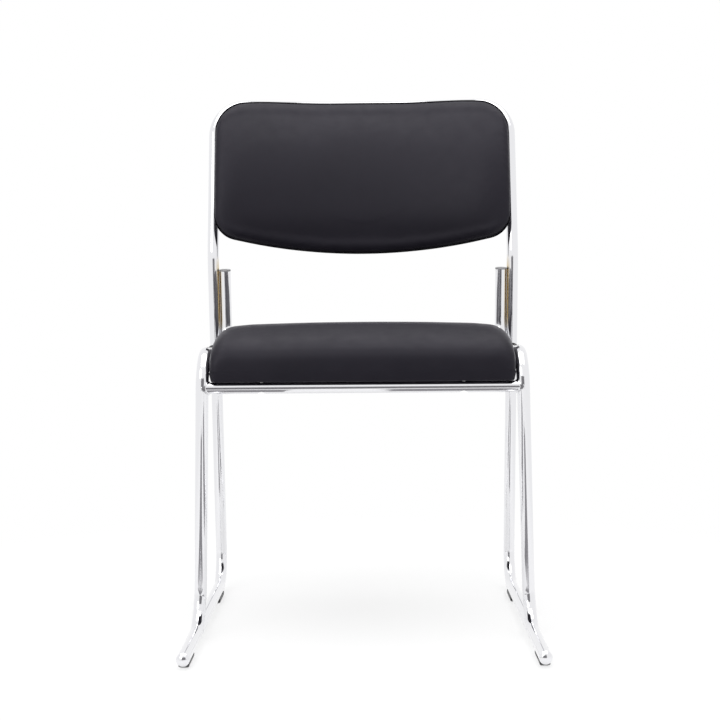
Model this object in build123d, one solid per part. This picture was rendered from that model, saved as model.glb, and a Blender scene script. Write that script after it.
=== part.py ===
from build123d import *
import math
import os

# A stacking visitor chair on a sled frame of bent chromed tube. It stands on z = 0 and faces -Y.
# Left and right are as seen from the front. Sizes are in millimetres and degrees.

# Frame tubes
frame_width = 495.0
overall_height = 806.0
tube_od = 18.0
tube_wall = 1.5
bar_od = 16.0
bar_wall = 1.2
weld_gap = 0.2

# Side view of the frame: the corners where the straight axes of the bent tubes would meet
toe_y = -285.0
foot_y = -75.0
seat_front_y = -167.0
seat_front_z = 412.0
leg_behind_seat = 32.0
elbow_lead = 82.0
elbow_z = 552.0
rail_end_z = 530.0
recline = 14.0
seat_tilt = 2.5

# Bends, measured to the tube's axis
floor_bend = 50.0
seat_front_bend = 40.0
rail_rear_bend = 42.0
elbow_bend = 120.0
hoop_corner_bend = 55.0
bow_corner = 62.0
bow_straight = 8.0
runner_tuck = 26.0

# Caps, glides and bumpers
fit = 0.15
cap_dome = 5.0
cap_spigot = 12.0
plug_flange = 2.0
glide_sole = 5.0
front_glide_width = 14.0
front_glide_rise = 6.5
rear_glide_width = 17.0
rear_glide_rise = 8.5
glide_length = 60.0
glide_corner = 4.0
glide_nose = 6.0
front_glide_setback = 14.0
rear_glide_lead = 92.0
peg_diameter = 6.0
peg_reach = 4.0
bumper_y = 5.0
bumper_length = 30.0
bumper_wall = 3.0
bumper_wrap = 105.0

# Seat
front_bar_drop = 49.0
seat_nut_margin = 1.5
seat_length = 382.0
seat_height = 80.5
seat_side_gap = 0.3
seat_under = 4.0
seat_draw_in = 1.0
seat_corner = 8.0
seat_shoulder = 27.0
seat_shoulder_width = 32.0
seat_crown = 3.0
nose_length = 70.0
nose_height = 30.0
tail_length = 40.0
tail_height = 44.0
cover_thickness = 1.5
soft_gap = 0.3
seat_board_thickness = 12.0
cloth_thickness = 1.0
cloth_margin = 9.0
seat_screw_x = 140.0

# Backrest
pad_gap = 0.5
pad_tuck = 3.5
pad_top_drop = 5.0
pad_bottom_z = 554.0
pad_bottom_radius = 900.0
pad_top_corner = 50.0
pad_bottom_corner = 30.0
pad_depth = 40.0
pad_foam_edge = 4.0
pad_roll = 12.0
pad_roll_height = 18.0
pad_side_share = 0.3
panel_thickness = 2.5
back_board_thickness = 9.0
back_screw_edge = 28.0
bracket_lip = 23.0
bracket_thickness = 3.0
bracket_flange = 6.0
bracket_corner_gap = 10.0
bracket_height = 76.0
back_screw_inset = 14.0

# Screws, washers and tee nuts of both pads
screw_diameter = 6.0
screw_head_diameter = 11.0
screw_head_height = 4.0
screw_recess_diameter = 4.5
screw_recess_depth = 2.5
screw_tip_gap = 1.0
hole_clearance = 0.6
washer_diameter = 14.0
washer_thickness = 1.4
saddle_diameter = 10.0
access_clearance = 1.0
nut_flange_diameter = 18.0
nut_flange_thickness = 1.5
nut_barrel_diameter = 8.0
nut_barrel_length = 6.0

# Values that follow from the sizes above
tube_radius = tube_od / 2
bar_radius = bar_od / 2
half_frame = frame_width / 2 - tube_radius
pad_half_width = half_frame - pad_tuck
floor_axis_z = glide_sole + tube_radius
rail_x = half_frame - tube_od - weld_gap
hoop_top_z = overall_height - tube_radius
pad_top_z = overall_height - pad_top_drop
rear_floor_y = seat_front_y + seat_length + leg_behind_seat
elbow_y = rear_floor_y - elbow_lead
rear_glide_y = rear_floor_y - rear_glide_lead
recline_run = math.tan(math.radians(recline))
tilt_run = math.tan(math.radians(seat_tilt))
leg_run = (rear_floor_y - elbow_y) / (elbow_z - floor_axis_z)
rise = Vector(0, math.sin(math.radians(recline)), math.cos(math.radians(recline)))
screw_hole = screw_diameter + hole_clearance
arc_half = math.sin(math.radians(45))
through = 2.0


def rear_leg_y(z):
    return rear_floor_y - leg_run * (z - floor_axis_z)


def upright_y(z):
    return elbow_y + recline_run * (z - elbow_z)


def fall_to_rear_leg(y, z):
    """Height at which a line that falls backwards at the seat's tilt meets the rear leg's axis."""
    reach = rear_floor_y + leg_run * floor_axis_z - y
    return (z - tilt_run * reach) / (1 - tilt_run * leg_run)


def front_leg_at(z):
    share = (z - floor_axis_z) / (seat_front_z - floor_axis_z)
    x = half_frame + share * (rail_x - half_frame)
    y = foot_y + share * (seat_front_y - foot_y)
    return Vector(x, y, z)


def bend_reach(before, corner, after, radius):
    """Length of straight axis that a bend takes up on each side of its corner."""
    turn = (corner - before).get_angle(after - corner)
    return radius * math.tan(math.radians(turn / 2))


def across(points):
    return [Vector(-point.X, point.Y, point.Z) for point in reversed(points)]


def rod(path, diameter):
    start = Plane(origin=path @ 0, z_dir=path % 0)
    return sweep(start * Circle(diameter / 2), path=path)


def tube(path, diameter, wall):
    start = Plane(origin=path @ 0, z_dir=path % 0)
    ring = Circle(diameter / 2) - Circle(diameter / 2 - wall)
    return sweep(start * ring, path=path)


def post(diameter, low, high):
    """Round bar on the local Z axis."""
    return Pos(0, 0, low) * Cylinder(diameter / 2, high - low, align=(Align.CENTER, Align.CENTER, Align.MIN))


def group(pieces):
    return Compound([piece.solid() for piece in pieces])


# Side frame tube: toe, front leg, seat rail and the end turned up beside the back hoop
rail_rear_z = fall_to_rear_leg(seat_front_y, seat_front_z)
rail_tube_end_z = rail_end_z - plug_flange
side_points = [
    Vector(half_frame, toe_y + cap_dome, floor_axis_z),
    Vector(half_frame, foot_y, floor_axis_z),
    Vector(rail_x, seat_front_y, seat_front_z),
    Vector(rail_x, rear_leg_y(rail_rear_z), rail_rear_z),
    Vector(rail_x, rear_leg_y(rail_tube_end_z), rail_tube_end_z),
]
side_path = FilletPolyline(*side_points, radius=[floor_bend, seat_front_bend, rail_rear_bend])
side_rod = rod(side_path, tube_od)
side_frame = tube(side_path, tube_od, tube_wall)

# Back hoop: runner, rear leg, reclined upright and bowed top rail, bent from one tube
foot_reach = bend_reach(*side_points[:3], floor_bend)
hoop_side = [
    Vector(half_frame, foot_y - foot_reach + runner_tuck, floor_axis_z),
    Vector(half_frame, rear_floor_y, floor_axis_z),
    Vector(half_frame, elbow_y, elbow_z),
    Vector(half_frame, upright_y(hoop_top_z), hoop_top_z),
]
bow_apex = Vector(0, upright_y(hoop_top_z) + bow_corner, hoop_top_z)
bow_turn = math.atan(bow_corner / half_frame)
corner_reach = bend_reach(hoop_side[2], hoop_side[3], bow_apex, hoop_corner_bend)
bow_run = (bow_apex - hoop_side[3]).length - corner_reach - bow_straight
bow_radius = bow_run / math.tan(bow_turn)
bow_depth = bow_corner - bow_radius * (1 / math.cos(bow_turn) - 1)
side_bends = [floor_bend, elbow_bend, hoop_corner_bend]
hoop_path = FilletPolyline(
    *hoop_side, bow_apex, *across(hoop_side), radius=[*side_bends, bow_radius, *reversed(side_bends)]
)
hoop_rod = rod(hoop_path, tube_od)
back_hoop = tube(hoop_path, tube_od, tube_wall)
back_hoop -= [side_rod, mirror(side_rod, about=Plane.YZ)]

# Cross bars, cut to saddle the legs that they are welded to
front_bar_at = front_leg_at(seat_front_z - front_bar_drop)
rear_bar_z = fall_to_rear_leg(front_bar_at.Y, front_bar_at.Z)
rear_bar_at = Vector(half_frame, rear_leg_y(rear_bar_z), rear_bar_z)


def cross_bar(end):
    path = Line(Vector(-end.X, end.Y, end.Z), end)
    return tube(path, bar_od, bar_wall)


front_crossbar = cross_bar(front_bar_at) - [side_rod, mirror(side_rod, about=Plane.YZ)]
rear_crossbar = cross_bar(rear_bar_at) - hoop_rod

# Domed caps on the toes and plugs in the upturned rail ends
spigot_diameter = tube_od - 2 * tube_wall - 2 * fit
dome_radius = (tube_radius**2 + cap_dome**2) / (2 * cap_dome)
toe_plane = Plane(origin=side_path @ 0, z_dir=-(side_path % 0))
dome = Pos(0, 0, cap_dome - dome_radius) * Sphere(dome_radius)
toe_cap = toe_plane * ((dome & post(tube_od, 0, cap_dome)) + post(spigot_diameter, -cap_spigot, 0))
rail_end_plane = Plane(origin=side_path @ 1, z_dir=side_path % 1)
rail_plug = rail_end_plane * (post(tube_od, 0, plug_flange) + post(spigot_diameter, -cap_spigot, 0))


# Glides: moulded cradles under the runner, each with a peg through the tube's underside
def glide(y, width, high):
    cradle = Pos(0, high) * RectangleRounded(width, 2 * high, glide_corner)
    cradle -= Pos(0, high) * Rectangle(width, high, align=(Align.CENTER, Align.MIN))
    cradle -= Pos(0, floor_axis_z) * Circle(tube_radius + fit)
    start = Plane(origin=(half_frame, y, 0), x_dir=(1, 0, 0), z_dir=(0, -1, 0))
    half = glide_length / 2
    nose_z = glide_nose / 2
    side = Polyline((-half, nose_z), (glide_nose - half, 0), (half - glide_nose, 0), (half, nose_z),
                    (half, high), (-half, high), close=True)
    profile = Plane(origin=(half_frame, y, 0), x_dir=(0, 1, 0), z_dir=(1, 0, 0)) * make_face(side)
    body = extrude(start * cradle, half, both=True) & extrude(profile, width, both=True)
    return body + Pos(half_frame, y, 0) * post(peg_diameter, glide_sole - through, glide_sole + peg_reach)


def peg_hole(y):
    return Pos(half_frame, y, 0) * post(peg_diameter + 2 * fit, 0, floor_axis_z)


front_glide_y = toe_y + front_glide_setback + glide_length / 2
front_glide = glide(front_glide_y, front_glide_width, front_glide_rise)
rear_glide = glide(rear_glide_y, rear_glide_width, rear_glide_rise)
side_frame -= peg_hole(front_glide_y)
back_hoop -= [peg_hole(rear_glide_y), mirror(peg_hole(rear_glide_y), about=Plane.YZ)]

# Stack bumpers: soft clips snapped over the outside of the seat rails
rail_direction = side_points[3] - side_points[2]
bumper_share = (bumper_y - seat_front_y) / rail_direction.Y
bumper_plane = Plane(
    origin=side_points[2] + rail_direction * bumper_share, x_dir=(1, 0, 0), z_dir=rail_direction
)
bumper_ring = Circle(tube_radius + fit + bumper_wall) - Circle(tube_radius + fit)
mouth_x = tube_od * math.cos(math.radians(bumper_wrap))
mouth_y = tube_od * math.sin(math.radians(bumper_wrap))
mouth = make_face(Polyline((0, 0), (mouth_x, mouth_y), (-tube_od, mouth_y), (-tube_od, -mouth_y),
                           (mouth_x, -mouth_y), close=True))
stack_bumper = extrude(bumper_plane * (bumper_ring - mouth), bumper_length / 2, both=True)

# Seat: built flat, with its board's underside at height 0 and the front bar at station 0, then tilted
seat_normal = Vector(0, math.sin(math.radians(seat_tilt)), math.cos(math.radians(seat_tilt)))
seat_plane = Plane(
    origin=Vector(0, front_bar_at.Y, front_bar_at.Z) + seat_normal * (bar_radius + cloth_thickness),
    x_dir=(1, 0, 0),
    z_dir=seat_normal,
)
seat_half_width = rail_x - tube_radius - seat_side_gap
bar_spacing = (rear_bar_at.Y - front_bar_at.Y) / math.cos(math.radians(seat_tilt))
seat_start = -(nut_flange_diameter / 2 + seat_nut_margin + soft_gap + cover_thickness)
seat_middle = seat_start + seat_length / 2
roll_steps = 6
flat_steps = 6
roll_angles = [math.radians(90 * step / roll_steps) for step in range(roll_steps + 1)]


def seat_slice(station, full_height, inset, floor):
    """Cross-section of the cushion at one distance from its front edge."""
    share = (seat_length / 2 - inset) / (seat_length / 2)
    y = seat_middle + (station - seat_length / 2) * share
    height = full_height - inset
    corner_left = max(0.0, seat_corner - min(station, seat_length - station))
    half = seat_half_width - seat_corner + math.sqrt(seat_corner**2 - corner_left**2) - inset
    shoulder_low = height - seat_shoulder * height / seat_height
    shoulder_high = height - seat_crown * height / seat_height
    low = Vector(half - seat_under, y, floor)
    belly = Vector(half, y, shoulder_low / 2)
    side = Vector(half - seat_draw_in, y, shoulder_low)
    turn = Vector(
        half - (1 - arc_half) * seat_shoulder_width,
        y,
        shoulder_low + arc_half * (shoulder_high - shoulder_low),
    )
    top = Vector(half - seat_shoulder_width, y, shoulder_high)
    crest = Vector(0, y, height)
    right = [ThreePointArc(low, belly, side), ThreePointArc(side, turn, top)]
    left = [ThreePointArc(*across([low, belly, side])), ThreePointArc(*across([side, turn, top]))]
    over = ThreePointArc(top, crest, across([top])[0])
    under = Line(across([low])[0], low)
    return Face(Wire([under, *right, over, *reversed(left)]))


def rolled(end_height, angle):
    return end_height + (seat_height - end_height) * math.sin(angle)


seat_flat = seat_length - nose_length - tail_length
seat_stations = [(nose_length * (1 - math.cos(angle)), rolled(nose_height, angle)) for angle in roll_angles]
for step in range(1, flat_steps):
    seat_stations.append((nose_length + seat_flat * step / flat_steps, seat_height))
for angle in reversed(roll_angles):
    seat_stations.append((seat_length - tail_length * (1 - math.cos(angle)), rolled(tail_height, angle)))


def seat_form(inset, floor):
    return loft([seat_slice(station, height, inset, floor) for station, height in seat_stations])


def seat_slab(low, high):
    length = 2 * seat_length
    slab = Box(length, length, high - low, align=(Align.CENTER, Align.CENTER, Align.MIN))
    return Pos(0, seat_middle, low) * slab


seat_outer = seat_form(0, 0)
seat_cavity = seat_form(cover_thickness, -through)
seat_filling = seat_form(cover_thickness + soft_gap, -through)
seat_cover = seat_outer - seat_cavity
seat_board = seat_filling & seat_slab(0, seat_board_thickness)
seat_foam = seat_filling & seat_slab(seat_board_thickness + soft_gap, 2 * seat_height)
cloth = RectangleRounded(2 * (seat_half_width - cloth_margin), seat_length - 2 * cloth_margin, seat_corner)
seat_cloth = extrude(Pos(0, seat_middle, -cloth_thickness) * cloth, cloth_thickness)
seat_fixings = [Pos(x, s, 0) for s in (0, bar_spacing) for x in (-seat_screw_x, seat_screw_x)]


# Fixings, each on a local axis that points into the pad, with the pad's hard layer at a given height
def tee_nut(top):
    barrel = post(nut_barrel_diameter, top - nut_flange_thickness - nut_barrel_length, top)
    return barrel + post(nut_flange_diameter, top - nut_flange_thickness, top) - post(
        screw_diameter + 2 * fit, top - nut_flange_thickness - nut_barrel_length, top
    )


def tee_nut_pocket(bottom, top):
    recess = post(nut_flange_diameter + 2 * fit, top - nut_flange_thickness, top + through)
    return recess + post(nut_barrel_diameter + 2 * fit, bottom - through, top)


def pan_screw(seat, tip):
    head = post(screw_head_diameter, seat - screw_head_height, seat)
    recess = Pos(0, 0, seat - screw_head_height) * extrude(
        RegularPolygon(screw_recess_diameter / 2, 6), screw_recess_depth
    )
    return head - recess + post(screw_diameter, seat, tip)


# The seat's screws sit inside the bars: each goes in by an access hole, and a saddle washer fills the
# space between its flat head and the round bore.
bar_bore = bar_radius - bar_wall
bar_axis_height = -cloth_thickness - bar_radius
head_room = (screw_head_diameter + hole_clearance) / 2
head_seat = bar_axis_height + math.sqrt(max(0.0, bar_bore**2 - head_room**2))
bore_filler = Pos(0, 0, bar_axis_height) * Rot(0, 90, 0) * Cylinder(bar_bore - fit, 2 * saddle_diameter)
saddle = (bore_filler & post(saddle_diameter, head_seat, 0)) - post(screw_hole, head_seat, 0)
seat_screw = pan_screw(head_seat, seat_board_thickness - screw_tip_gap)
seat_nut = tee_nut(seat_board_thickness)
seat_board -= [at * tee_nut_pocket(0, seat_board_thickness) for at in seat_fixings]
seat_cloth -= [at * post(screw_head_diameter, -2 * cloth_thickness, cloth_thickness) for at in seat_fixings]
bar_drill = post(screw_hole, bar_axis_height, 0)
bar_drill += post(screw_head_diameter + access_clearance, bar_axis_height - bar_od, bar_axis_height)
seat_holes = [seat_plane * at * bar_drill for at in seat_fixings]
front_crossbar -= seat_holes[:2]
rear_crossbar -= seat_holes[2:]

# Backrest: its rear face runs parallel to the bowed top rail and to the reclined uprights
pad_radius = bow_radius - tube_radius / math.cos(math.radians(recline)) - pad_gap
pad_centre = bow_depth - bow_radius
board_near = panel_thickness + soft_gap
board_far = board_near + back_board_thickness
foam_near = board_far + soft_gap
pad_edge = foam_near + pad_foam_edge


def pad_bow(x):
    return pad_centre + math.sqrt(pad_radius**2 - x**2)


def pad_slope(x):
    return -x / math.sqrt(pad_radius**2 - x**2)


def pad_point(x, depth, z):
    return Vector(x, upright_y(z) + pad_bow(x) - depth, z)


def corner_cut(x, radius):
    past = max(0.0, abs(x) - (pad_half_width - radius))
    return radius - math.sqrt(radius**2 - past**2)


def pad_outline(station, inset):
    """Position across the pad, and the pad's lower and upper edge there."""
    x = station * (pad_half_width - inset) / pad_half_width
    low = pad_bottom_z + pad_bottom_radius - math.sqrt(pad_bottom_radius**2 - station**2)
    low += corner_cut(station, pad_bottom_corner) + inset
    high = pad_top_z - corner_cut(station, pad_top_corner) - inset
    return x, low, high


def pad_slice(station, side_share, inset, rear):
    """Cross-section of the pad, with its crowned front rolled over at the lower and upper edge."""
    x, low, high = pad_outline(station, inset)
    edge = pad_edge - inset
    roll = edge + pad_roll * side_share
    crown = edge + (pad_depth - pad_edge) * side_share
    height = pad_roll_height * side_share
    half_roll = edge + arc_half * (roll - edge)
    bottom = [pad_point(x, edge, low), pad_point(x, half_roll, low + (1 - arc_half) * height)]
    front = [pad_point(x, roll, low + height), pad_point(x, crown, (low + high) / 2)]
    front.append(pad_point(x, roll, high - height))
    top = [pad_point(x, half_roll, high - (1 - arc_half) * height), pad_point(x, edge, high)]
    behind = [pad_point(x, rear, high), pad_point(x, rear, low)]
    edges = [
        ThreePointArc(*bottom, front[0]),
        ThreePointArc(*front),
        ThreePointArc(front[2], *top),
        Line(top[1], behind[0]),
        Line(*behind),
        Line(behind[1], bottom[0]),
    ]
    return Face(Wire(edges))


def sheet_slice(station, inset, near, far):
    x, low, high = pad_outline(station, inset)
    corners = [(near, low), (far, low), (far, high), (near, high)]
    return make_face(Polyline(*[pad_point(x, depth, z) for depth, z in corners], close=True))


pad_flat = pad_half_width - pad_top_corner
pad_stations = [(0.0, 1.0), (pad_flat / 2, 1.0)]
for angle in roll_angles:
    share = pad_side_share + (1 - pad_side_share) * math.cos(angle)
    pad_stations.append((pad_flat + pad_top_corner * math.sin(angle), share))
pad_stations = [(-x, share) for x, share in reversed(pad_stations[1:])] + pad_stations


def pad_form(inset, rear):
    return loft([pad_slice(x, share, inset, rear) for x, share in pad_stations])


def pad_sheet(inset, near, far):
    return loft([sheet_slice(x, inset, near, far) for x, share in pad_stations])


pad_inset = cover_thickness + soft_gap
back_cover = pad_form(0, 0) - pad_form(cover_thickness, -through)
back_panel = pad_sheet(pad_inset, 0, panel_thickness)
back_board = pad_sheet(pad_inset, board_near, board_far)
back_foam = pad_form(pad_inset, foam_near)

# Back brackets: angle steels welded inside the uprights, with the plate against the pad's rear panel
bracket_outer_x = half_frame - tube_radius - weld_gap
back_screw_x = pad_half_width - back_screw_edge
bracket_inner_x = back_screw_x - bracket_lip
bracket_high_z = hoop_top_z - corner_reach * rise.Z - bracket_corner_gap
bracket_low_z = bracket_high_z - bracket_height
back_screw_heights = (bracket_low_z + back_screw_inset, bracket_high_z - back_screw_inset)


def plate_line(x, offset):
    y = pad_bow(back_screw_x) + pad_slope(back_screw_x) * (x - back_screw_x) + offset
    return Vector(x, upright_y(bracket_low_z) + y, bracket_low_z)


plate_back = soft_gap + bracket_thickness
flange_end_y = upright_y(bracket_low_z) + bracket_flange
bracket_outline = Polyline(
    plate_line(bracket_inner_x, soft_gap),
    plate_line(bracket_outer_x, soft_gap),
    Vector(bracket_outer_x, flange_end_y, bracket_low_z),
    Vector(bracket_outer_x - bracket_thickness, flange_end_y, bracket_low_z),
    plate_line(bracket_outer_x - bracket_thickness, plate_back),
    plate_line(bracket_inner_x, plate_back),
    close=True,
)
back_bracket = extrude(make_face(bracket_outline), bracket_height / rise.Z, dir=rise)


def back_fixing(z):
    """Local axis into the pad at one screw, with height 0 on the pad's rear face."""
    inward = Vector(pad_slope(back_screw_x), -1, recline_run)
    return Plane(origin=pad_point(back_screw_x, 0, z), x_dir=(0, recline_run, 1), z_dir=inward)


pad_fixings = [back_fixing(z) for z in back_screw_heights]
depth_share = 1 / Vector(pad_slope(back_screw_x), -1, recline_run).length
plate_rear = -plate_back * depth_share
washer_rear = plate_rear - washer_thickness
nut_top = board_far * depth_share
washer = post(washer_diameter, washer_rear, plate_rear) - post(screw_hole, washer_rear, plate_rear)
back_screw = pan_screw(washer_rear, nut_top - screw_tip_gap)
back_nut = tee_nut(nut_top)
for at in pad_fixings:
    pocket = at * tee_nut_pocket(board_near * depth_share, nut_top)
    hole = at * post(screw_hole, 2 * washer_rear, nut_top)
    back_board -= [pocket, mirror(pocket, about=Plane.YZ)]
    back_panel -= [hole, mirror(hole, about=Plane.YZ)]
    back_bracket -= hole


def on_seat(piece):
    return group([seat_plane * at * piece for at in seat_fixings])


def on_back(piece):
    right = [at * piece for at in pad_fixings]
    return group(right + [mirror(one, about=Plane.YZ) for one in right])


nodes = {
    "back_hoop": back_hoop,
    "front_crossbar": front_crossbar,
    "rear_crossbar": rear_crossbar,
    "seat_board": seat_plane * seat_board,
    "seat_foam": seat_plane * seat_foam,
    "seat_cover": seat_plane * seat_cover,
    "seat_underside_cloth": seat_plane * seat_cloth,
    "seat_tee_nuts": on_seat(seat_nut),
    "seat_screws": on_seat(seat_screw),
    "seat_saddle_washers": on_seat(saddle),
    "back_board": back_board,
    "back_foam": back_foam,
    "back_cover": back_cover,
    "back_rear_panel": back_panel,
    "back_tee_nuts": on_back(back_nut),
    "back_screws": on_back(back_screw),
    "back_washers": on_back(washer),
}
pairs = {
    "side_frame": side_frame,
    "toe_cap": toe_cap,
    "rail_end_plug": rail_plug,
    "front_glide": front_glide,
    "rear_glide": rear_glide,
    "stack_bumper": stack_bumper,
    "back_bracket": back_bracket,
}
for name, right_piece in pairs.items():
    nodes[name + "_right"] = right_piece
    nodes[name + "_left"] = mirror(right_piece, about=Plane.YZ)

# The origin is on the floor, midway between the toes' tips and the back of the top rail
hoop_back_y = upright_y(hoop_top_z) + bow_depth + tube_radius
to_origin = Pos(0, -(toe_y + hoop_back_y) / 2, 0)
os.makedirs("parts", exist_ok=True)
for name, piece in nodes.items():
    export_step(to_origin * piece, f"parts/{name}.step")
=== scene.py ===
import bmesh
import bpy
import math
import numpy
from mathutils import Matrix, Vector


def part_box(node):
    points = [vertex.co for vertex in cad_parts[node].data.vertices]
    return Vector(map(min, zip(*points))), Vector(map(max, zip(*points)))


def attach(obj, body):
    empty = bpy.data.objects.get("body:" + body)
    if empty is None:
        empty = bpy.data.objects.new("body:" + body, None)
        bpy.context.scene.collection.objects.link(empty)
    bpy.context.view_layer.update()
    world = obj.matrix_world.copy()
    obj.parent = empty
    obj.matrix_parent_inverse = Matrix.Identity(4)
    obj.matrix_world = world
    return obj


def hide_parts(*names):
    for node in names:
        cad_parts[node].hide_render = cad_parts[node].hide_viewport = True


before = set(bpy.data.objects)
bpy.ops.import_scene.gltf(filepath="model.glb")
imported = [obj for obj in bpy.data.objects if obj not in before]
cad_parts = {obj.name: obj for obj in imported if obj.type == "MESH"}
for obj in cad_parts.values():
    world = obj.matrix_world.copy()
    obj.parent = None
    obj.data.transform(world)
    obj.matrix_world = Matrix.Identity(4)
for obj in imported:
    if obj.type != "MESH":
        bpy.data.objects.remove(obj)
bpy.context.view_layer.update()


# Tube frame: a bent hoop, two bent side tubes, two cross bars, the toe caps and two angle brackets.
# Steel tube, welded and then plated together with bright chrome over nickel.
# Where the two tubes of each side lie in a valley beside each other, a warm darker band of painted shade is
# mixed into the plating colour.
facet_gap = 0.00002
crease_angle = math.radians(28)


def new_material(name):
    """A material with its shader and the piece's own coordinates in metres."""
    material = bpy.data.materials.new(name)
    material.use_nodes = True
    nodes = material.node_tree.nodes
    place = nodes.new("ShaderNodeTexCoord").outputs["Object"]
    return material, nodes, material.node_tree.links, nodes["Principled BSDF"], place


def new_effect(name, numbers, results):
    """A shader node group with a Vector input, named number inputs and named outputs."""
    effect = bpy.data.node_groups.new(name, "ShaderNodeTree")
    effect.interface.new_socket("Vector", in_out="INPUT", socket_type="NodeSocketVector")
    for number, value in numbers.items():
        socket = effect.interface.new_socket(number, in_out="INPUT", socket_type="NodeSocketFloat")
        socket.default_value = value
    for result in results:
        effect.interface.new_socket(result, in_out="OUTPUT", socket_type="NodeSocketFloat")
    start = effect.nodes.new("NodeGroupInput")
    end = effect.nodes.new("NodeGroupOutput")
    return effect, effect.nodes, effect.links, start.outputs, end.inputs


def place_effect(nodes, links, effect, place, numbers):
    """Puts a node group into a material with its own numbers."""
    node = nodes.new("ShaderNodeGroup")
    node.node_tree = effect
    links.new(place, node.inputs["Vector"])
    for number, value in numbers.items():
        node.inputs[number].default_value = value
    return node.outputs


def feed(links, socket, value):
    """Gives a socket another node's value, or a plain number."""
    if isinstance(value, bpy.types.NodeSocket):
        links.new(value, socket)
    else:
        socket.default_value = value


def noise(nodes, links, place, scale, detail):
    """A cloudy pattern that runs through the piece."""
    node = nodes.new("ShaderNodeTexNoise")
    node.inputs["Detail"].default_value = detail
    links.new(place, node.inputs["Vector"])
    feed(links, node.inputs["Scale"], scale)
    return node.outputs["Fac"]


def reckon(nodes, links, operation, *values):
    """One step of arithmetic on values that change over the surface."""
    node = nodes.new("ShaderNodeMath")
    node.operation = operation
    for socket, value in zip(node.inputs, values):
        feed(links, socket, value)
    return node.outputs["Value"]


def spread(nodes, links, value, low, high, start=0.0, end=1.0):
    """Maps a value from start and end to low and high."""
    node = nodes.new("ShaderNodeMapRange")
    node.inputs["From Min"].default_value = start
    node.inputs["From Max"].default_value = end
    node.inputs["To Min"].default_value = low
    node.inputs["To Max"].default_value = high
    links.new(value, node.inputs["Value"])
    return node.outputs["Result"]


def blend_colours(nodes, links, share, first, second):
    """Mixes two plain colours by a value that changes over the surface."""
    node = nodes.new("ShaderNodeMix")
    node.data_type = "RGBA"
    links.new(share, node.inputs["Factor"])
    node.inputs["A"].default_value = (*first, 1.0)
    node.inputs["B"].default_value = (*second, 1.0)
    return node.outputs["Result"]


def raise_surface(nodes, links, shader, height, strength, distance):
    """Gives a surface a fine relief."""
    node = nodes.new("ShaderNodeBump")
    node.inputs["Strength"].default_value = strength
    node.inputs["Distance"].default_value = distance
    links.new(height, node.inputs["Height"])
    links.new(node.outputs["Normal"], shader.inputs["Normal"])


def dress(names, material):
    """Gives CAD nodes a finish and rounds their shading where the solid is curved."""
    for name in names:
        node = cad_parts[name]
        node.data.materials.clear()
        node.data.materials.append(material)
        node.data.shade_smooth()
        weld = node.modifiers.new("joined facets", "WELD")
        weld.merge_threshold = facet_gap
        crease = node.modifiers.new("sharp edges", "EDGE_SPLIT")
        crease.split_angle = crease_angle


scratch_stretch = (1.0, 1.0, 0.04)
scratch_lean = (0.3, 0.2, 0.0)
handling, nodes, links, given, result = new_effect(
    "Handling marks", {"Smudge Scale": 30.0, "Scratch Scale": 900.0}, ["Smudge", "Scratch"]
)
smudge = noise(nodes, links, given["Vector"], scale=given["Smudge Scale"], detail=6.0)
links.new(smudge, result["Smudge"])
stretch = nodes.new("ShaderNodeMapping")
stretch.inputs["Scale"].default_value = scratch_stretch
stretch.inputs["Rotation"].default_value = scratch_lean
links.new(given["Vector"], stretch.inputs["Vector"])
scratch = noise(nodes, links, stretch.outputs["Vector"], scale=given["Scratch Scale"], detail=2.0)
links.new(scratch, result["Scratch"])

chrome_colour = (0.82, 0.82, 0.84)
# Painted shade: a warm darker colour painted into the valley between the two tubes of each side.
valley_painted_shade = (0.66, 0.55, 0.36)
valley_x = 0.2294
valley_floor = 0.001
valley_reach = 0.0055
valley_low_z = 0.452
valley_high_z = 0.532
valley_fade = 0.02
chrome, nodes, links, shader, place = new_material("bright chrome")
shader.inputs["Metallic"].default_value = 1.0
marks = place_effect(nodes, links, handling, place, {"Smudge Scale": 34.0, "Scratch Scale": 1100.0})
dulled = spread(nodes, links, marks["Smudge"], low=0.05, high=0.12, start=0.35, end=0.7)
links.new(dulled, shader.inputs["Roughness"])
raise_surface(nodes, links, shader, marks["Scratch"], strength=0.04, distance=0.0001)
parts = nodes.new("ShaderNodeSeparateXYZ")
links.new(place, parts.inputs["Vector"])
height = parts.outputs["Z"]
sideways = reckon(nodes, links, "ABSOLUTE", parts.outputs["X"])
off_valley = reckon(nodes, links, "SUBTRACT", sideways, valley_x)
from_valley = reckon(nodes, links, "ABSOLUTE", off_valley)
in_valley = spread(nodes, links, from_valley, low=1.0, high=0.0, start=valley_floor, end=valley_reach)
above = spread(
    nodes, links, height, low=0.0, high=1.0, start=valley_low_z - valley_fade, end=valley_low_z
)
below = spread(
    nodes, links, height, low=1.0, high=0.0, start=valley_high_z, end=valley_high_z + valley_fade
)
along = reckon(nodes, links, "MULTIPLY", above, below)
# The share of painted shade: the valley band between the two heights, mixed into the chrome colour.
painted_shade_share = reckon(nodes, links, "MULTIPLY", along, in_valley)
plating_and_painted_shade = blend_colours(nodes, links, painted_shade_share, chrome_colour, valley_painted_shade)
links.new(plating_and_painted_shade, shader.inputs["Base Color"])
dress(["back_hoop", "front_crossbar", "rear_crossbar"], chrome)
for side in ("left", "right"):
    dress(["side_frame_" + side, "toe_cap_" + side, "back_bracket_" + side], chrome)


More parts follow.
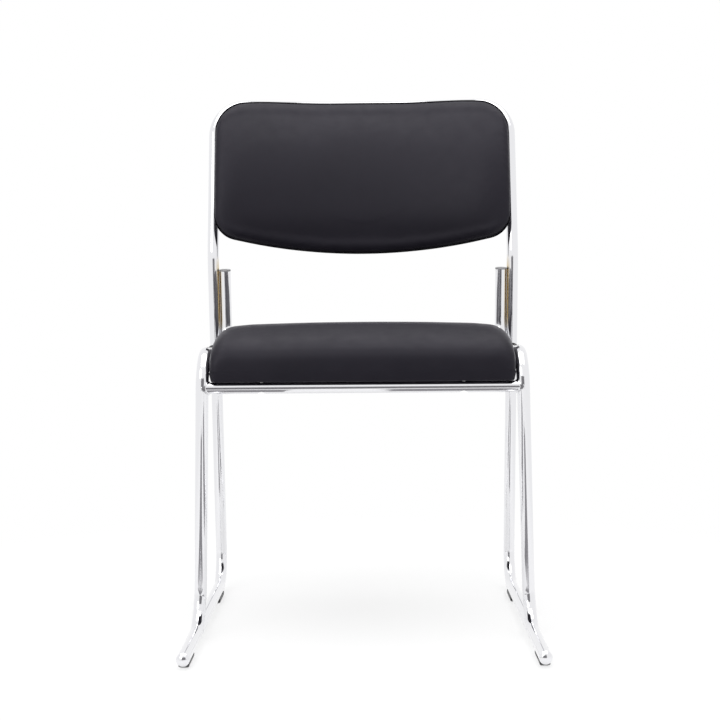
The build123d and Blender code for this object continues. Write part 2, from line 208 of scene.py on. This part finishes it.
# Weld beads: fillets of weld metal round both ends of each cross bar, plated with the frame.
# The welder's steps show as fine ripples along the bead.
def set_in(name, shape, material):
    """Puts a finished shape into the scene as a piece of the welded chair."""
    mesh = bpy.data.meshes.new(name)
    shape.to_mesh(mesh)
    shape.free()
    piece = bpy.data.objects.new(name, mesh)
    bpy.context.collection.objects.link(piece)
    mesh.materials.append(material)
    mesh.shade_smooth()
    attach(piece, "root")
    return piece


bar_radius = 0.008
leg_radius = 0.009
front_weld_reach = 0.2132
rear_weld_reach = 0.2290
bead_radius = 0.0017
bead_sides = 10
bead_steps = 48
bead_ripple = 0.00018
bead_seam = 0.000001


def weld_bead(name, bar, side, reach):
    """A rippled ring round the end of a cross bar, bent to the leg that it meets."""
    low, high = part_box(bar)
    bar_y = (low[1] + high[1]) / 2
    bar_z = (low[2] + high[2]) / 2
    bead = bmesh.new()
    ring = bmesh.ops.create_circle(bead, segments=bead_sides, radius=bead_radius)["verts"]
    bmesh.ops.translate(bead, vec=(0.0, bar_radius, 0.0), verts=ring)
    bmesh.ops.spin(
        bead, geom=bead.verts[:] + bead.edges[:], cent=(0.0, 0.0, 0.0), axis=(1.0, 0.0, 0.0),
        angle=math.radians(360), steps=bead_steps, use_merge=True,
    )
    bmesh.ops.remove_doubles(bead, verts=bead.verts, dist=bead_seam)
    for vertex in bead.verts:
        across = max(-leg_radius, min(leg_radius, vertex.co.y))
        ripple = bead_ripple * math.cos(bead_steps / 2 * math.atan2(vertex.co.z, vertex.co.y))
        vertex.co.x += ripple + leg_radius - math.sqrt(leg_radius**2 - across**2)
    bmesh.ops.scale(bead, vec=(side, 1.0, 1.0), verts=bead.verts)
    bmesh.ops.recalc_face_normals(bead, faces=bead.faces)
    bmesh.ops.translate(bead, vec=(side * reach, bar_y, bar_z), verts=bead.verts)
    set_in(name, bead, chrome)


for end, reach in (("front", front_weld_reach), ("rear", rear_weld_reach)):
    weld_bead(end + "_weld_left", end + "_crossbar", -1.0, reach)
    weld_bead(end + "_weld_right", end + "_crossbar", 1.0, reach)


# Rail end plugs: grey moulded discs with a spigot, pushed into the cut ends of the seat rails.
# Polypropylene, with a dull skin and scuffs from hands.
moulding, nodes, links, given, result = new_effect(
    "Moulded skin", {"Grain Scale": 1400.0}, ["Grain", "Bloom"]
)
grain = noise(nodes, links, given["Vector"], scale=given["Grain Scale"], detail=3.0)
links.new(grain, result["Grain"])
bloom = noise(nodes, links, given["Vector"], scale=90.0, detail=4.0)
links.new(bloom, result["Bloom"])
bloom_range = 0.08


def moulded(name, dark, pale, dull, scale):
    """A moulded plastic or rubber finish between two colours, with a fine skin."""
    material, nodes, links, shader, place = new_material(name)
    skin = place_effect(nodes, links, moulding, place, {"Grain Scale": scale})
    links.new(blend_colours(nodes, links, skin["Bloom"], dark, pale), shader.inputs["Base Color"])
    dulled = spread(nodes, links, skin["Bloom"], low=dull - bloom_range, high=dull + bloom_range)
    links.new(dulled, shader.inputs["Roughness"])
    raise_surface(nodes, links, shader, skin["Grain"], strength=0.25, distance=0.0001)
    return material


grey_plastic = moulded(
    "grey moulded plastic", dark=(0.23, 0.23, 0.24), pale=(0.32, 0.32, 0.33), dull=0.5, scale=1400.0
)
dress(["rail_end_plug_left", "rail_end_plug_right"], grey_plastic)


# Glides and bumpers: nylon cradles pegged under the runners, and soft clips on the seat rails.
# The clips keep stacked chairs from scratching each other.
black_nylon = moulded(
    "black nylon", dark=(0.014, 0.014, 0.015), pale=(0.03, 0.03, 0.032), dull=0.45, scale=1600.0
)
black_rubber = moulded(
    "black rubber", dark=(0.012, 0.012, 0.012), pale=(0.026, 0.026, 0.027), dull=0.75, scale=1200.0
)
for side in ("left", "right"):
    dress(["front_glide_" + side, "rear_glide_" + side], black_nylon)
    dress(["stack_bumper_" + side], black_rubber)


# Boards: birch plywood, flat under the seat and bent behind the back, cut with tee nut pockets.
# The layers show on the edges, and the faces carry a long grain.
birch_pale = (0.68, 0.5, 0.31)
birch_dark = (0.42, 0.27, 0.14)
grain_stretch = (6.0, 160.0, 160.0)
plywood, nodes, links, shader, place = new_material("birch plywood")
layers = nodes.new("ShaderNodeTexWave")
layers.wave_type = "BANDS"
layers.bands_direction = "Z"
layers.inputs["Scale"].default_value = 110.0
layers.inputs["Distortion"].default_value = 1.5
links.new(place, layers.inputs["Vector"])
long_grain = nodes.new("ShaderNodeMapping")
long_grain.inputs["Scale"].default_value = grain_stretch
links.new(place, long_grain.inputs["Vector"])
fibres = noise(nodes, links, long_grain.outputs["Vector"], scale=3.0, detail=8.0)
wood = reckon(nodes, links, "MULTIPLY", layers.outputs["Fac"], fibres)
links.new(blend_colours(nodes, links, wood, birch_pale, birch_dark), shader.inputs["Base Color"])
links.new(spread(nodes, links, fibres, low=0.55, high=0.8), shader.inputs["Roughness"])
raise_surface(nodes, links, shader, fibres, strength=0.3, distance=0.0002)
dress(["seat_board", "back_board"], plywood)


# Seat cushion: a foam block on the board under one sheet of black leatherette, stapled underneath.
# Air in the foam swells the sheet between the stiff edges of the board, so its top is crowned.
skin_smoothings = 2
air_pressure = 4.0
sheet_stiffness = 2.0
solver_quality = 5
last_step = 20
easing_turns = 60


def baked(block):
    """Turns a block's modifiers into its mesh."""
    shaped = block.evaluated_get(bpy.context.evaluated_depsgraph_get())
    mesh = bpy.data.meshes.new_from_object(shaped)
    block.modifiers.clear()
    block.data = mesh


def filled(name, solids, voxel, pushed_out):
    """One closed skin round copies of several solids, pushed out along its normals."""
    shell = bmesh.new()
    for solid in solids:
        shell.from_mesh(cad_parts[solid].data)
    bmesh.ops.remove_doubles(shell, verts=shell.verts, dist=facet_gap)
    mesh = bpy.data.meshes.new(name)
    shell.to_mesh(mesh)
    shell.free()
    block = bpy.data.objects.new(name, mesh)
    bpy.context.collection.objects.link(block)
    wrap = block.modifiers.new("skin", "REMESH")
    wrap.mode = "VOXEL"
    wrap.voxel_size = voxel
    baked(block)
    skin = bmesh.new()
    skin.from_mesh(block.data)
    for smoothing in range(skin_smoothings):
        bmesh.ops.smooth_vert(
            skin, verts=skin.verts, factor=0.5, use_axis_x=True, use_axis_y=True, use_axis_z=True
        )
    skin.normal_update()
    for vertex in skin.verts:
        vertex.co += vertex.normal * pushed_out
    skin.to_mesh(block.data)
    skin.free()
    return block


def swell(block, held, most):
    """Blows a block up as cloth, holding some points, capping the others and easing out the wrinkles."""
    points = block.data.vertices
    stiff = block.vertex_groups.new(name="stiff")
    stiff.add([vertex.index for vertex in points if held(vertex.co)], 1.0, "REPLACE")
    cloth = block.modifiers.new("air", "CLOTH")
    cloth.settings.vertex_group_mass = "stiff"
    cloth.settings.use_pressure = True
    cloth.settings.uniform_pressure_force = air_pressure
    cloth.settings.effector_weights.gravity = 0.0
    cloth.settings.quality = solver_quality
    cloth.settings.bending_stiffness = sheet_stiffness
    cloth.point_cache.frame_start = 1
    cloth.point_cache.frame_end = last_step
    for step in range(1, last_step + 1):
        bpy.context.scene.frame_set(step)
    shaped = block.evaluated_get(bpy.context.evaluated_depsgraph_get())
    before = numpy.array([vertex.co for vertex in points])
    after = numpy.array([vertex.co for vertex in shaped.data.vertices])
    moves = numpy.clip(after - before, -numpy.array(most), numpy.array(most))
    first, second = numpy.array([edge.vertices for edge in block.data.edges]).T
    neighbours = numpy.bincount(numpy.concatenate((first, second)), minlength=len(points))[:, None]
    for turn in range(easing_turns):
        around = numpy.zeros_like(moves)
        numpy.add.at(around, first, moves[second])
        numpy.add.at(around, second, moves[first])
        moves = (moves + around / neighbours) / 2
    block.modifiers.clear()
    points.foreach_set("co", (before + moves).ravel())
    block.vertex_groups.clear()
    bpy.context.scene.frame_set(1)


leather_grain, nodes, links, given, result = new_effect(
    "Leather grain", {"Pebble Scale": 700.0, "Crease Scale": 60.0}, ["Pebble", "Crease", "Tone"]
)
pebbles = nodes.new("ShaderNodeTexVoronoi")
pebbles.feature = "DISTANCE_TO_EDGE"
links.new(given["Vector"], pebbles.inputs["Vector"])
links.new(given["Pebble Scale"], pebbles.inputs["Scale"])
pebble = spread(nodes, links, pebbles.outputs["Distance"], low=0.0, high=1.0, start=0.0, end=0.25)
links.new(pebble, result["Pebble"])
creases = noise(nodes, links, given["Vector"], scale=given["Crease Scale"], detail=5.0)
links.new(creases, result["Crease"])
tone = noise(nodes, links, given["Vector"], scale=9.0, detail=3.0)
links.new(tone, result["Tone"])
crease_range = 0.06


def grained(name, dark, pale, dull, scale, depth):
    """A coated fabric with a pebbled grain."""
    material, nodes, links, shader, place = new_material(name)
    skin = place_effect(nodes, links, leather_grain, place, {"Pebble Scale": scale, "Crease Scale": 60.0})
    shader.inputs["Specular IOR Level"].default_value = 0.2
    shader.inputs["Specular Tint"].default_value = (0.94, 0.91, 1.0, 1.0)
    shader.inputs["Sheen Weight"].default_value = 0.12
    shader.inputs["Sheen Roughness"].default_value = 0.35
    shader.inputs["Sheen Tint"].default_value = (0.92, 0.88, 1.0, 1.0)
    links.new(blend_colours(nodes, links, skin["Tone"], dark, pale), shader.inputs["Base Color"])
    dulled = spread(
        nodes, links, skin["Crease"], low=dull - crease_range, high=dull + crease_range, start=0.3, end=0.7
    )
    links.new(dulled, shader.inputs["Roughness"])
    raise_surface(nodes, links, shader, skin["Pebble"], strength=0.25, distance=depth)
    return material


leatherette = grained(
    "black leatherette", dark=(0.007, 0.0064, 0.010), pale=(0.011, 0.0098, 0.015),
    dull=0.45, scale=750.0, depth=0.00012,
)


def cover(pad, *solids):
    """Finishes a pad in leatherette and hides the solids that it stands for."""
    pad.data.materials.append(leatherette)
    pad.data.shade_smooth()
    finer = pad.modifiers.new("finer", "SUBSURF")
    finer.levels = 1
    finer.render_levels = 1
    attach(pad, "root")
    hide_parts(*solids)


seat_tilt = math.radians(2.5)
seat_plane_at = Vector((0.0, -0.1493, 0.3720))
seat_plane_up = Vector((0.0, math.sin(seat_tilt), math.cos(seat_tilt)))
seat_plane_back = Vector((0.0, math.cos(seat_tilt), -math.sin(seat_tilt)))
corner_reach = 0.07
corner_fullness = 0.010


def fill_corners(points):
    """Widens the front corners, where the sheet is folded over itself."""
    for point in points:
        run = (point.co - seat_plane_at).dot(seat_plane_back)
        point.co.x *= 1 + corner_fullness * max(0.0, min(1.0, 1 - run / corner_reach))


seat_board_thickness = 0.012
seat_swell = (0.0002, 0.0016, 0.0024)
seat_pad = filled("seat_pad", ["seat_foam", "seat_board"], voxel=0.0045, pushed_out=0.0016)
swell(
    seat_pad,
    lambda point: (point - seat_plane_at).dot(seat_plane_up) < seat_board_thickness,
    seat_swell,
)
fill_corners(seat_pad.data.vertices)
cover(seat_pad, "seat_cover", "seat_foam")


# Seat hem: the lower edge of the leatherette, drawn round the board's edge and turned under it.
# It stands a little proud of the cushion and is stapled to the board under the black cloth.
cut_angle = math.radians(40)


def cut_edges(piece):
    """Keeps the cut edges of a sheet sharp in its shading."""
    split = piece.modifiers.new("cut edge", "EDGE_SPLIT")
    split.split_angle = cut_angle


seat_place = Matrix.Translation(seat_plane_at) @ Matrix.Rotation(-seat_tilt, 4, "X")
hem_front = -0.0124
hem_back = 0.3701
hem_half_width = 0.2076
hem_flare = 0.0030
hem_corner = 0.008
hem_height = 0.0134
hem_under = 0.014
hem_drop = 0.0008
hem_roll = 0.0022
hem_sheet = 0.0007
rim = bmesh.new()
bmesh.ops.create_grid(rim, x_segments=1, y_segments=1, size=0.5)
bmesh.ops.scale(rim, vec=(2 * hem_half_width, hem_back - hem_front, 1.0), verts=rim.verts)
bmesh.ops.translate(rim, vec=(0.0, (hem_front + hem_back) / 2, -hem_drop), verts=rim.verts)
bmesh.ops.bevel(
    rim, geom=rim.verts, offset=hem_corner, segments=8, profile=0.5, affect="VERTICES", material=-1
)
bmesh.ops.inset_region(
    rim, faces=rim.faces, thickness=hem_under, use_boundary=True, use_even_offset=True
)
outline = [edge for edge in rim.edges if edge.is_boundary]
raised = bmesh.ops.extrude_edge_only(rim, edges=outline)["geom"]
wall_top = [part for part in raised if isinstance(part, bmesh.types.BMVert)]
flare = (hem_half_width + hem_flare) / hem_half_width
bmesh.ops.scale(rim, vec=(flare, 1.0, 1.0), verts=wall_top)
bmesh.ops.translate(rim, vec=(0.0, 0.0, hem_height), verts=wall_top)
bmesh.ops.delete(rim, geom=[max(rim.faces, key=lambda face: face.calc_area())], context="FACES")
outline = [edge for edge in outline if edge.is_valid]
bmesh.ops.bevel(
    rim, geom=outline, offset=hem_roll, segments=4, profile=0.5, affect="EDGES", material=-1
)
bmesh.ops.recalc_face_normals(rim, faces=rim.faces)
bmesh.ops.solidify(rim, geom=rim.faces, thickness=hem_sheet)
bmesh.ops.transform(rim, matrix=seat_place, verts=rim.verts)
fill_corners(rim.verts)
cut_edges(set_in("seat_hem", rim, leatherette))


# Seat underside: a thin black non-woven cloth over the board, which hides the stapled edge of the cover.
# It is held by the same staples and cut out round the four screws.
cloth_dark = (0.008, 0.008, 0.009)
cloth_pale = (0.035, 0.035, 0.037)
nonwoven, nodes, links, shader, place = new_material("black non-woven cloth")
felt = noise(nodes, links, place, scale=1500.0, detail=6.0)
bond = nodes.new("ShaderNodeTexVoronoi")
bond.inputs["Scale"].default_value = 420.0
bond.inputs["Randomness"].default_value = 0.15
links.new(place, bond.inputs["Vector"])
links.new(blend_colours(nodes, links, felt, cloth_dark, cloth_pale), shader.inputs["Base Color"])
dulled = spread(nodes, links, bond.outputs["Distance"], low=0.7, high=0.95)
links.new(dulled, shader.inputs["Roughness"])
raise_surface(nodes, links, shader, bond.outputs["Distance"], strength=0.5, distance=0.0003)
dress(["seat_underside_cloth"], nonwoven)


# Fixings of both pads: zinc plated screws, washers and tee nuts, and black saddle washers inside the bars.
# The seat's screws go in by holes under the cross bars, the back's from behind through the brackets.
zinc_grey = (0.52, 0.53, 0.56)
zinc_yellow = (0.68, 0.67, 0.62)
zinc, nodes, links, shader, place = new_material("zinc plated steel")
shader.inputs["Metallic"].default_value = 1.0
marks = place_effect(nodes, links, handling, place, {"Smudge Scale": 160.0, "Scratch Scale": 1800.0})
links.new(blend_colours(nodes, links, marks["Smudge"], zinc_grey, zinc_yellow), shader.inputs["Base Color"])
dulled = spread(nodes, links, marks["Smudge"], low=0.25, high=0.45, start=0.3, end=0.7)
links.new(dulled, shader.inputs["Roughness"])
raise_surface(nodes, links, shader, marks["Scratch"], strength=0.1, distance=0.0001)
dress(["seat_screws", "seat_tee_nuts", "back_screws", "back_washers", "back_tee_nuts"], zinc)
dress(["seat_saddle_washers"], black_nylon)


# Staples: flat wire staples down both sides of the seat's underside.
# They hold the turned hem and the black cloth to the board.
staple_crown = (0.0013, 0.0105, 0.0006)
staple_round = 0.00018
staple_pitch = 0.042
staple_count = 8
first_staple = 0.028
staple_line_x = 0.196
cloth_face = -0.0010
staples = bmesh.new()
for side in (-1.0, 1.0):
    for step in range(staple_count):
        wire = bmesh.ops.create_cube(staples, size=1.0)["verts"]
        bmesh.ops.scale(staples, vec=staple_crown, verts=wire)
        along = first_staple + step * staple_pitch
        bmesh.ops.translate(staples, vec=(side * staple_line_x, along, cloth_face), verts=wire)
bmesh.ops.bevel(
    staples, geom=staples.edges[:], offset=staple_round, segments=2, profile=0.5, affect="EDGES", material=-1
)
bmesh.ops.transform(staples, matrix=seat_place, verts=staples.verts)
set_in("seat_staples", staples, zinc)


# Back pad: foam on the bent board under one sheet of black leatherette, drawn over the edge all round.
# The front swells between the edges, and the sheet is tucked in behind the rear panel.
upright_at_y = 0.1710
upright_at_z = 0.552
recline_run = math.tan(math.radians(14))
pad_radius = 0.7080
pad_middle_bow = 0.0280
pad_stiff_depth = 0.0118


def pad_rear(point):
    """The place along Y of the pad's rear face behind a point."""
    bow = pad_middle_bow - pad_radius + math.sqrt(pad_radius**2 - point.x**2)
    return upright_at_y + recline_run * (point.z - upright_at_z) + bow


back_swell = (0.0008, 0.0040, 0.0008)
back_pad = filled("back_pad", ["back_foam", "back_board"], voxel=0.004, pushed_out=0.0013)
swell(back_pad, lambda point: pad_rear(point) - point.y < pad_stiff_depth, back_swell)
cover(back_pad, "back_cover", "back_foam")


# Back edge band: the strip of leatherette that covers the board's edge all round the back.
# It is cut from the outer skin of the pad, and its rear edge is tucked in behind the panel.
band_depth = 0.0150
band_proud = 0.0002
band = bmesh.new()
band.from_mesh(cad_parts["back_cover"].data)
bmesh.ops.remove_doubles(band, verts=band.verts, dist=facet_gap)
band.normal_update()
for vertex in band.verts:
    vertex.co += vertex.normal * band_proud
    vertex.co.y -= pad_rear(vertex.co)
bmesh.ops.bisect_plane(
    band, geom=band.verts[:] + band.edges[:] + band.faces[:], dist=0.00001,
    plane_co=(0.0, -band_depth, 0.0), plane_no=(0.0, -1.0, 0.0), clear_outer=True,
)
for vertex in band.verts:
    vertex.co.y += pad_rear(vertex.co)
cut_edges(set_in("back_edge_band", band, leatherette))


# Rear panel of the back: a thin board covered in leatherette, clipped in behind the pad.
# Its leatherette is duller and coarser than the front's.
panel_skin = grained(
    "black panel leatherette", dark=(0.011, 0.011, 0.012), pale=(0.017, 0.017, 0.019),
    dull=0.55, scale=600.0, depth=0.00015,
)
dress(["back_rear_panel"], panel_skin)


# Floor and studio: a white sweep under broad soft light from above, and dark cards before the chair.
# The cards are seen only in what shines. One stands and draws the line along the front bar, and two lie
# on the floor and draw the line down each front leg.
def studio_sheet(name, paint, width, length, turn, middle):
    """A flat sheet of the studio, which isn't part of the chair."""
    sheet = bmesh.new()
    bmesh.ops.create_grid(sheet, x_segments=1, y_segments=1, size=0.5)
    bmesh.ops.scale(sheet, vec=(width, length, 1.0), verts=sheet.verts)
    bmesh.ops.transform(sheet, matrix=Matrix.Rotation(turn, 4, "X"), verts=sheet.verts)
    bmesh.ops.translate(sheet, vec=middle, verts=sheet.verts)
    mesh = bpy.data.meshes.new(name)
    sheet.to_mesh(mesh)
    sheet.free()
    mesh.materials.append(paint)
    card = bpy.data.objects.new(name, mesh)
    bpy.context.collection.objects.link(card)
    return card


flat = 0.0
upright = math.radians(90)
paper_dull = (0.96, 0.96, 0.96)
paper_bright = (0.98, 0.98, 0.98)
floor_paint, nodes, links, shader, place = new_material("white sweep")
paper = noise(nodes, links, place, scale=300.0, detail=2.0)
links.new(blend_colours(nodes, links, paper, paper_dull, paper_bright), shader.inputs["Base Color"])
shader.inputs["Roughness"].default_value = 0.9
shader.inputs["Specular IOR Level"].default_value = 0.1
away = nodes.new("ShaderNodeVectorMath")
away.operation = "LENGTH"
links.new(place, away.inputs[0])
faded = spread(nodes, links, away.outputs["Value"], low=0.25, high=0.0, start=0.5, end=1.0)
links.new(faded, shader.inputs["Alpha"])
studio_sheet("floor", floor_paint, width=16.0, length=20.0, turn=flat, middle=(0.0, 2.0, 0.0))

card_paint, nodes, links, shader, place = new_material("dark card")
shader.inputs["Base Color"].default_value = (0.14, 0.135, 0.145, 1.0)
shader.inputs["Roughness"].default_value = 1.0
ray_length = nodes.new("ShaderNodeLightPath").outputs["Ray Length"]
faded = spread(nodes, links, ray_length, low=0.0, high=0.9, start=0.08, end=0.2)
links.new(faded, shader.inputs["Alpha"])
cards = (
    studio_sheet("front_card", card_paint, width=0.9, length=0.6, turn=upright, middle=(0.0, -1.05, 0.3)),
    studio_sheet("left_card", card_paint, width=0.23, length=0.50, turn=flat, middle=(-0.245, -0.43, 0.003)),
    studio_sheet("right_card", card_paint, width=0.22, length=0.50, turn=flat, middle=(0.15, -0.43, 0.003)),
)
for card in cards:
    card.visible_camera = False
    card.visible_diffuse = False
    card.visible_shadow = False

white = (1.0, 1.0, 1.0, 1.0)
studio = bpy.data.worlds.new("studio")
bpy.context.scene.world = studio
studio.use_nodes = True
nodes = studio.node_tree.nodes
links = studio.node_tree.links
ambient = nodes["Background"]
ambient.inputs["Color"].default_value = white
ambient.inputs["Strength"].default_value = 0.75
backdrop = nodes.new("ShaderNodeBackground")
backdrop.inputs["Color"].default_value = white
backdrop.inputs["Strength"].default_value = 1.0
rays = nodes.new("ShaderNodeLightPath").outputs
seen = reckon(nodes, links, "MAXIMUM", rays["Is Camera Ray"], rays["Is Glossy Ray"])
shown = reckon(nodes, links, "MAXIMUM", seen, rays["Is Transmission Ray"])
choice = nodes.new("ShaderNodeMixShader")
links.new(shown, choice.inputs["Fac"])
links.new(ambient.outputs["Background"], choice.inputs[1])
links.new(backdrop.outputs["Background"], choice.inputs[2])
links.new(choice.outputs["Shader"], nodes["World Output"].inputs["Surface"])


def soft_light(name, place, aim, width, length, power):
    """A broad lamp that is turned towards a point."""
    lamp = bpy.data.lights.new(name, "AREA")
    lamp.shape = "RECTANGLE"
    lamp.size = width
    lamp.size_y = length
    lamp.energy = power
    light = bpy.data.objects.new(name, lamp)
    light.location = place
    light.rotation_euler = (Vector(aim) - Vector(place)).to_track_quat("-Z", "Y").to_euler()
    bpy.context.collection.objects.link(light)


soft_light("top_light", place=(0.0, -0.4, 2.8), aim=(0.0, 0.0, 0.3), width=3.0, length=2.4, power=60.0)
soft_light("front_light", place=(-1.8, -2.6, 2.0), aim=(0.0, 0.0, 0.5), width=1.6, length=1.6, power=25.0)


# Camera: a long lens before the chair, about half a metre above the floor.
# It is square to the chair, apart from a small pitch, yaw and roll.
camera_at = (0.0112, -2.2052, 0.5076)
camera_lens = 74.385
camera_sensor = 36.0
camera_pitch = math.radians(-2.974)
camera_yaw = math.radians(0.406)
camera_roll = math.radians(-0.442)
view = bpy.data.cameras.new("camera")
view.lens = camera_lens
view.sensor_width = camera_sensor
camera = bpy.data.objects.new("camera", view)
aimed = Matrix.Rotation(camera_yaw, 4, "Z") @ Matrix.Rotation(upright + camera_pitch, 4, "X")
camera.matrix_world = Matrix.Translation(camera_at) @ aimed @ Matrix.Rotation(camera_roll, 4, "Z")
bpy.context.collection.objects.link(camera)
bpy.context.scene.camera = camera
bpy.context.scene.view_settings.view_transform = "Standard"
